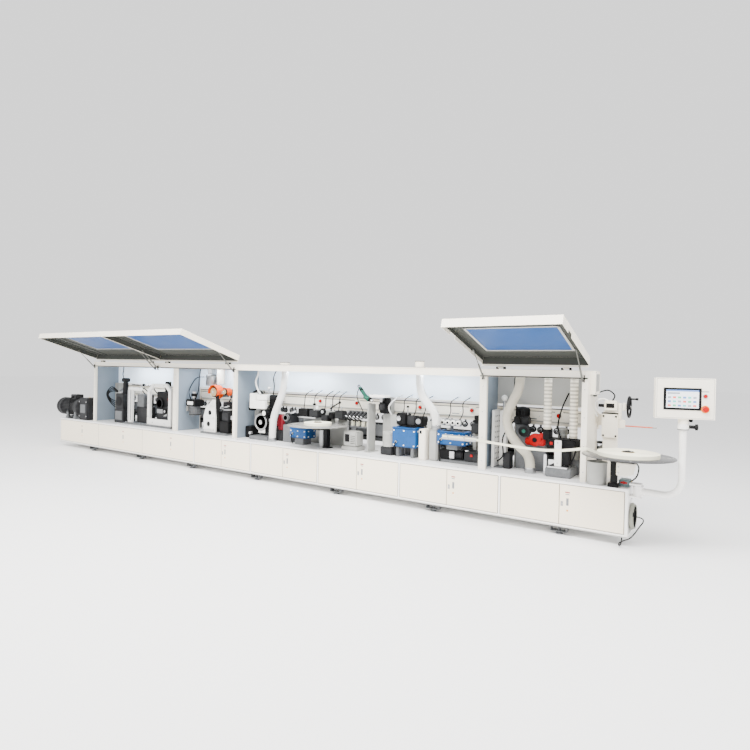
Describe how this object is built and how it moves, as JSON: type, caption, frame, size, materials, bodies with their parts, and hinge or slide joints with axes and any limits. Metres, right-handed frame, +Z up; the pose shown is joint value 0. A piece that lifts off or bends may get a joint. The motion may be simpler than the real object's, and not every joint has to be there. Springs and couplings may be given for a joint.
{
  "type": "edge banding machine",
  "caption": "Long through-feed edge banding machine with raised guard lids, tape reels, glue tanks, trimming units and a swivelling operator panel.",
  "frame": {"origin": "centre of the machine's footprint at floor level, measured without its free hoses and cable", "axes": "+Z up; +X along the machine towards the end where boards enter and the operator panel stands; -Y towards the operator, where doors and lids open"},
  "size_m": [11.0612, 1.8328, 2.1125],
  "materials": {
    "white_paint": "satin",
    "table_paint": "satin",
    "cream_paint": "satin",
    "ivory_paint": "satin",
    "window_plastic": "gloss",
    "dark_steel": "satin",
    "strut_paint": "satin",
    "polished_rod": "polished",
    "wheel_rubber": "matte",
    "red_plastic": "gloss",
    "motor_paint": "satin",
    "black_plastic": "matte",
    "reel_plastic": "gloss",
    "stand_paint": "satin",
    "tape_plastic": "gloss",
    "screen_glass": "gloss",
    "hose_plastic": "matte",
    "cable_rubber": "matte",
    "tank_blue": "satin",
    "unit_metal": "satin"
  },
  "bodies": {
    "machine_body": {"base_frame": "white_paint", "table_plate": "table_paint", "fixed_covers": "cream_paint", "levelling_feet": "dark_steel", "hood_left": "cream_paint", "hood_middle": "cream_paint", "hood_right": "cream_paint", "hood_fittings": "strut_paint", "beam_columns": "white_paint", "feed_chain": "wheel_rubber", "chain_track": "dark_steel", "drive_motor": "motor_paint", "corner_rounding_unit": "unit_metal", "buffing_unit": "unit_metal", "end_trim_unit": "unit_metal", "profile_trim_unit": "unit_metal", "glue_units": "unit_metal", "glue_tanks": "tank_blue", "hot_air_gun": "black_plastic", "premill_unit": "unit_metal", "suction_hose_left": "hose_plastic", "suction_hose_middle": "hose_plastic", "suction_hose_right": "hose_plastic", "supply_cable": "cable_rubber", "air_hose_coil": "hose_plastic", "reel_stands": "stand_paint", "edge_tape": "tape_plastic", "infeed_head": "white_paint"},
    "door_1": {"door_1": "cream_paint"},
    "door_2": {"door_2": "cream_paint"},
    "door_3": {"door_3": "cream_paint"},
    "door_4": {"door_4": "cream_paint"},
    "door_5": {"door_5": "cream_paint"},
    "lid_1": {"lid_1": "ivory_paint", "lid_window_1": "window_plastic"},
    "strut_tube_1": {"strut_tubes_1": "strut_paint"},
    "strut_rod_1": {"strut_rods_1": "polished_rod"},
    "lid_2": {"lid_2": "ivory_paint", "lid_window_2": "window_plastic"},
    "strut_tube_2": {"strut_tubes_2": "strut_paint"},
    "strut_rod_2": {"strut_rods_2": "polished_rod"},
    "lid_3": {"lid_3": "ivory_paint", "lid_window_3": "window_plastic"},
    "strut_tube_3": {"strut_tubes_3": "strut_paint"},
    "strut_rod_3": {"strut_rods_3": "polished_rod"},
    "pressure_beam": {"pressure_beam": "cream_paint", "pressure_wheels": "wheel_rubber"},
    "estop_1": {"estop_button_1": "red_plastic"},
    "estop_2": {"estop_button_2": "red_plastic"},
    "estop_3": {"estop_button_3": "red_plastic"},
    "estop_4": {"estop_button_4": "red_plastic"},
    "estop_5": {"estop_button_5": "red_plastic"},
    "height_handwheel": {"height_handwheel": "black_plastic"},
    "mid_reel": {"mid_tape_reel": "reel_plastic"},
    "infeed_reel": {"infeed_tape_reel": "reel_plastic"},
    "panel_arm": {"panel_arm": "white_paint"},
    "panel_head": {"panel_box": "white_paint", "touch_screen": "screen_glass"},
    "panel_button": {"panel_button": "red_plastic"},
    "panel_estop": {"panel_estop": "red_plastic"}
  },
  "joints": [
    {"name": "door_1_hinge", "type": "hinge", "parent": "machine_body", "child": "door_1", "pos_m": [4.82039, -0.02762, 0.3], "axis": [0, 0, 1], "range_deg": [0, 110]},
    {"name": "door_2_hinge", "type": "hinge", "parent": "machine_body", "child": "door_2", "pos_m": [3.58539, -0.02762, 0.3], "axis": [0, 0, 1], "range_deg": [0, 110]},
    {"name": "door_3_hinge", "type": "hinge", "parent": "machine_body", "child": "door_3", "pos_m": [2.35039, -0.02762, 0.3], "axis": [0, 0, 1], "range_deg": [0, 110]},
    {"name": "door_4_hinge", "type": "hinge", "parent": "machine_body", "child": "door_4", "pos_m": [1.11539, -0.02762, 0.3], "axis": [0, 0, 1], "range_deg": [0, 110]},
    {"name": "door_5_hinge", "type": "hinge", "parent": "machine_body", "child": "door_5", "pos_m": [-0.11961, -0.02762, 0.3], "axis": [0, 0, 1], "range_deg": [0, 110]},
    {"name": "lid_1_hinge", "type": "hinge", "parent": "machine_body", "child": "lid_1", "pos_m": [-3.39761, 0.10638, 1.668], "axis": [1, 0, 0], "range_deg": [0, 107.5]},
    {"name": "strut_tube_1_pivot", "type": "hinge", "parent": "machine_body", "child": "strut_tube_1", "pos_m": [-3.39761, 0.06038, 1.545], "axis": [1, 0, 0], "range_deg": [0, 131.5]},
    {"name": "strut_rod_1_slide", "type": "slide", "parent": "strut_tube_1", "child": "strut_rod_1", "axis": [0, -0.7121, 0.7021], "range_m": [-0.16236, 0]},
    {"name": "lid_2_hinge", "type": "hinge", "parent": "machine_body", "child": "lid_2", "pos_m": [-1.49111, 0.10638, 1.668], "axis": [1, 0, 0], "range_deg": [0, 107.5]},
    {"name": "strut_tube_2_pivot", "type": "hinge", "parent": "machine_body", "child": "strut_tube_2", "pos_m": [-1.49111, 0.06038, 1.545], "axis": [1, 0, 0], "range_deg": [0, 131.5]},
    {"name": "strut_rod_2_slide", "type": "slide", "parent": "strut_tube_2", "child": "strut_rod_2", "axis": [0, -0.7121, 0.7021], "range_m": [-0.16236, 0]},
    {"name": "lid_3_hinge", "type": "hinge", "parent": "machine_body", "child": "lid_3", "pos_m": [3.88789, 0.10638, 1.668], "axis": [1, 0, 0], "range_deg": [0, 107.5]},
    {"name": "strut_tube_3_pivot", "type": "hinge", "parent": "machine_body", "child": "strut_tube_3", "pos_m": [3.88789, 0.06038, 1.545], "axis": [1, 0, 0], "range_deg": [0, 131.5]},
    {"name": "strut_rod_3_slide", "type": "slide", "parent": "strut_tube_3", "child": "strut_rod_3", "axis": [0, -0.7121, 0.7021], "range_m": [-0.16236, 0]},
    {"name": "beam_lift", "type": "slide", "parent": "machine_body", "child": "pressure_beam", "axis": [0, 0, 1], "range_m": [-0.025, 0.025]},
    {"name": "estop_1_press", "type": "slide", "parent": "pressure_beam", "child": "estop_1", "axis": [0, 1, 0], "range_m": [0, 0.006], "stiffness_N_per_m": 800, "springref_m": -0.004},
    {"name": "estop_2_press", "type": "slide", "parent": "pressure_beam", "child": "estop_2", "axis": [0, 1, 0], "range_m": [0, 0.006], "stiffness_N_per_m": 800, "springref_m": -0.004},
    {"name": "estop_3_press", "type": "slide", "parent": "pressure_beam", "child": "estop_3", "axis": [0, 1, 0], "range_m": [0, 0.006], "stiffness_N_per_m": 800, "springref_m": -0.004},
    {"name": "estop_4_press", "type": "slide", "parent": "pressure_beam", "child": "estop_4", "axis": [0, 1, 0], "range_m": [0, 0.006], "stiffness_N_per_m": 800, "springref_m": -0.004},
    {"name": "estop_5_press", "type": "slide", "parent": "pressure_beam", "child": "estop_5", "axis": [0, 1, 0], "range_m": [0, 0.006], "stiffness_N_per_m": 800, "springref_m": -0.004},
    {"name": "handwheel_turn", "type": "hinge", "parent": "machine_body", "child": "height_handwheel", "pos_m": [4.76139, 0.56638, 1.283], "axis": [1, 0, 0], "range_deg": [-361, 361]},
    {"name": "mid_reel_spin", "type": "hinge", "parent": "machine_body", "child": "mid_reel", "pos_m": [1.03439, 0.08138, 0.862], "axis": [0, 0, 1], "continuous": true},
    {"name": "infeed_reel_spin", "type": "hinge", "parent": "machine_body", "child": "infeed_reel", "pos_m": [4.85539, -0.07362, 0.868], "axis": [0, 0, 1], "continuous": true},
    {"name": "arm_swing", "type": "hinge", "parent": "machine_body", "child": "panel_arm", "pos_m": [4.92939, 0.07638, 0.528], "axis": [0, 0, 1], "range_deg": [0, 70]},
    {"name": "panel_swivel", "type": "hinge", "parent": "panel_arm", "child": "panel_head", "pos_m": [5.28939, 0.00638, 1.19], "axis": [0, 0, 1], "range_deg": [-60, 60]},
    {"name": "panel_button_press", "type": "slide", "parent": "panel_head", "child": "panel_button", "axis": [-0.2588, 0.9659, 0], "range_m": [0, 0.003], "stiffness_N_per_m": 600, "springref_m": -0.003},
    {"name": "panel_estop_press", "type": "slide", "parent": "panel_head", "child": "panel_estop", "axis": [-0.2588, 0.9659, 0], "range_m": [0, 0.005], "stiffness_N_per_m": 800, "springref_m": -0.004}
  ],
  "couplings": [
    {"joint": "strut_tube_1_pivot", "follows": "lid_1_hinge", "ratio": 1.2224},
    {"joint": "strut_rod_1_slide", "follows": "lid_1_hinge", "m_per_rad": -0.08627},
    {"joint": "strut_tube_2_pivot", "follows": "lid_2_hinge", "ratio": 1.2224},
    {"joint": "strut_rod_2_slide", "follows": "lid_2_hinge", "m_per_rad": -0.08627},
    {"joint": "strut_tube_3_pivot", "follows": "lid_3_hinge", "ratio": 1.2224},
    {"joint": "strut_rod_3_slide", "follows": "lid_3_hinge", "m_per_rad": -0.08627},
    {"joint": "handwheel_turn", "follows": "beam_lift", "rad_per_m": 251.33}
  ]
}
